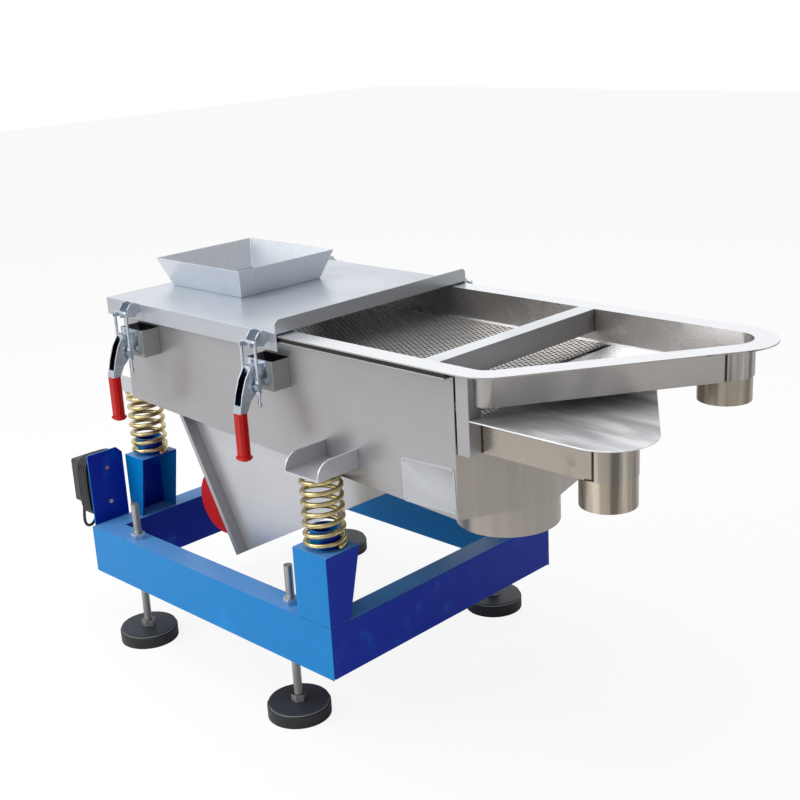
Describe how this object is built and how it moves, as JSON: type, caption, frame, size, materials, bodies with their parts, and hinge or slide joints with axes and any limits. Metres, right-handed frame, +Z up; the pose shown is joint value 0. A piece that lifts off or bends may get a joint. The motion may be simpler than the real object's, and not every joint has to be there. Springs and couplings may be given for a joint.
{
  "type": "vibrating sieve",
  "caption": "Linear vibrating sieve: a lidded stainless screen box with feed hopper and stepped outlets, on coil springs above a painted frame with levelling feet.",
  "frame": {"origin": "on the floor, at the middle of the bounding box", "axes": "+X along the flow, from the feed hopper to the outlets; +Y to the far side; +Z up"},
  "size_m": [1.4149, 0.684, 0.7835],
  "materials": {
    "blue_paint": "gloss enamel",
    "stainless": "brushed stainless sheet",
    "chute_stainless": "stainless sheet with weld tint",
    "lid_stainless": "satin stainless sheet",
    "screen_steel": "perforated stainless sheet",
    "spring_wire": "yellow zinc plated spring wire",
    "zinc_plate": "bright zinc plated steel",
    "red_vinyl": "dipped vinyl",
    "black_rubber": "moulded rubber",
    "cable_jacket": "cable jacket",
    "motor_red": "gloss enamel on cast iron",
    "rotor_steel": "machined steel shaft and weights",
    "switch_black": "moulded switch housing",
    "green_button": "moulded cap",
    "red_button": "moulded cap"
  },
  "bodies": {
    "frame": {"near_rail": "blue_paint", "far_rail": "blue_paint", "hopper_end_rail": "blue_paint", "discharge_end_rail": "blue_paint", "discharge_posts": "blue_paint", "hopper_posts": "blue_paint", "springs": "spring_wire", "foot_lock_nuts": "zinc_plate", "switch_plate": "blue_paint", "switch_box": "switch_black", "panel_screws": "zinc_plate", "cable_winding": "cable_jacket"},
    "screen_box": {"bottom_chute": "chute_stainless", "bottom_pan": "stainless", "end_cheeks": "stainless", "feed_hopper": "lid_stainless", "hopper_end_wall": "stainless", "latch_bases": "zinc_plate", "latch_brackets": "stainless", "latch_hooks": "zinc_plate", "latch_screws": "zinc_plate", "lid": "lid_stainless", "motor_covers": "motor_red", "motor_gussets": "stainless", "motor_housing": "motor_red", "motor_plate": "stainless", "rim_seals": "black_rubber", "second_cover": "stainless", "second_screen": "screen_steel", "second_tray": "stainless", "side_plate_far": "stainless", "side_plate_near": "stainless", "spring_seats": "stainless", "top_screen": "screen_steel", "top_tray": "stainless", "tray_crossbar": "stainless", "tray_spouts": "chute_stainless"},
    "foot_near_hopper": {"foot_stud_near_hopper": "zinc_plate", "foot_pad_near_hopper": "black_rubber"},
    "foot_near_discharge": {"foot_stud_near_discharge": "zinc_plate", "foot_pad_near_discharge": "black_rubber"},
    "foot_far_hopper": {"foot_stud_far_hopper": "zinc_plate", "foot_pad_far_hopper": "black_rubber"},
    "foot_far_discharge": {"foot_stud_far_discharge": "zinc_plate", "foot_pad_far_discharge": "black_rubber"},
    "latch_lever_near_hopper": {"lever_near_hopper": "zinc_plate", "grip_near_hopper": "red_vinyl"},
    "latch_bolt_near_hopper": {"u_bolt_near_hopper": "zinc_plate"},
    "latch_lever_near_discharge": {"lever_near_discharge": "zinc_plate", "grip_near_discharge": "red_vinyl"},
    "latch_bolt_near_discharge": {"u_bolt_near_discharge": "zinc_plate"},
    "latch_lever_far_hopper": {"lever_far_hopper": "zinc_plate", "grip_far_hopper": "red_vinyl"},
    "latch_bolt_far_hopper": {"u_bolt_far_hopper": "zinc_plate"},
    "latch_lever_far_discharge": {"lever_far_discharge": "zinc_plate", "grip_far_discharge": "red_vinyl"},
    "latch_bolt_far_discharge": {"u_bolt_far_discharge": "zinc_plate"},
    "motor_shaft": {"motor_rotor": "rotor_steel"},
    "start_cap": {"start_button": "green_button"},
    "stop_cap": {"stop_button": "red_button"}
  },
  "joints": [
    {"name": "throw", "type": "slide", "parent": "frame", "child": "screen_box", "axis": [0.8788, 0, 0.4772], "range_m": [-0.004, 0.004], "stiffness_N_per_m": 30000, "springref_m": 0.0146, "deforming": ["springs"]},
    {"name": "motor_spin", "type": "hinge", "parent": "screen_box", "child": "motor_shaft", "pos_m": [-0.36119, 0, 0.29016], "axis": [0, 1, 0], "continuous": true},
    {"name": "levelling_near_hopper", "type": "slide", "parent": "frame", "child": "foot_near_hopper", "axis": [0, 0, -1], "range_m": [-0.03, 0.035]},
    {"name": "levelling_near_discharge", "type": "slide", "parent": "frame", "child": "foot_near_discharge", "axis": [0, 0, -1], "range_m": [-0.03, 0.035]},
    {"name": "levelling_far_hopper", "type": "slide", "parent": "frame", "child": "foot_far_hopper", "axis": [0, 0, -1], "range_m": [-0.03, 0.035]},
    {"name": "levelling_far_discharge", "type": "slide", "parent": "frame", "child": "foot_far_discharge", "axis": [0, 0, -1], "range_m": [-0.03, 0.035]},
    {"name": "lever_swing_near_hopper", "type": "hinge", "parent": "screen_box", "child": "latch_lever_near_hopper", "pos_m": [-0.4395, -0.285, 0.663], "axis": [-1, 0, 0], "range_deg": [0, 150]},
    {"name": "bolt_swing_near_hopper", "type": "hinge", "parent": "latch_lever_near_hopper", "child": "latch_bolt_near_hopper", "pos_m": [-0.4395, -0.285, 0.633], "axis": [-1, 0, 0], "range_deg": [-106, 0.5]},
    {"name": "lever_swing_near_discharge", "type": "hinge", "parent": "screen_box", "child": "latch_lever_near_discharge", "pos_m": [-0.0505, -0.285, 0.663], "axis": [-1, 0, 0], "range_deg": [0, 150]},
    {"name": "bolt_swing_near_discharge", "type": "hinge", "parent": "latch_lever_near_discharge", "child": "latch_bolt_near_discharge", "pos_m": [-0.0505, -0.285, 0.633], "axis": [-1, 0, 0], "range_deg": [-106, 0.5]},
    {"name": "lever_swing_far_hopper", "type": "hinge", "parent": "screen_box", "child": "latch_lever_far_hopper", "pos_m": [-0.4395, 0.285, 0.663], "axis": [1, 0, 0], "range_deg": [0, 150]},
    {"name": "bolt_swing_far_hopper", "type": "hinge", "parent": "latch_lever_far_hopper", "child": "latch_bolt_far_hopper", "pos_m": [-0.4395, 0.285, 0.633], "axis": [1, 0, 0], "range_deg": [-106, 0.5]},
    {"name": "lever_swing_far_discharge", "type": "hinge", "parent": "screen_box", "child": "latch_lever_far_discharge", "pos_m": [-0.0505, 0.285, 0.663], "axis": [1, 0, 0], "range_deg": [0, 150]},
    {"name": "bolt_swing_far_discharge", "type": "hinge", "parent": "latch_lever_far_discharge", "child": "latch_bolt_far_discharge", "pos_m": [-0.0505, 0.285, 0.633], "axis": [1, 0, 0], "range_deg": [-106, 0.5]},
    {"name": "start_press", "type": "slide", "parent": "frame", "child": "start_cap", "axis": [1, 0, 0], "range_m": [0, 0.004], "stiffness_N_per_m": 800, "springref_m": -0.002},
    {"name": "stop_press", "type": "slide", "parent": "frame", "child": "stop_cap", "axis": [1, 0, 0], "range_m": [0, 0.004], "stiffness_N_per_m": 800, "springref_m": -0.002}
  ],
  "couplings": [
    {"joint": "bolt_swing_near_hopper", "follows": "lever_swing_near_hopper", "ratio": -0.7},
    {"joint": "bolt_swing_near_discharge", "follows": "lever_swing_near_discharge", "ratio": -0.7},
    {"joint": "bolt_swing_far_hopper", "follows": "lever_swing_far_hopper", "ratio": -0.7},
    {"joint": "bolt_swing_far_discharge", "follows": "lever_swing_far_discharge", "ratio": -0.7}
  ]
}
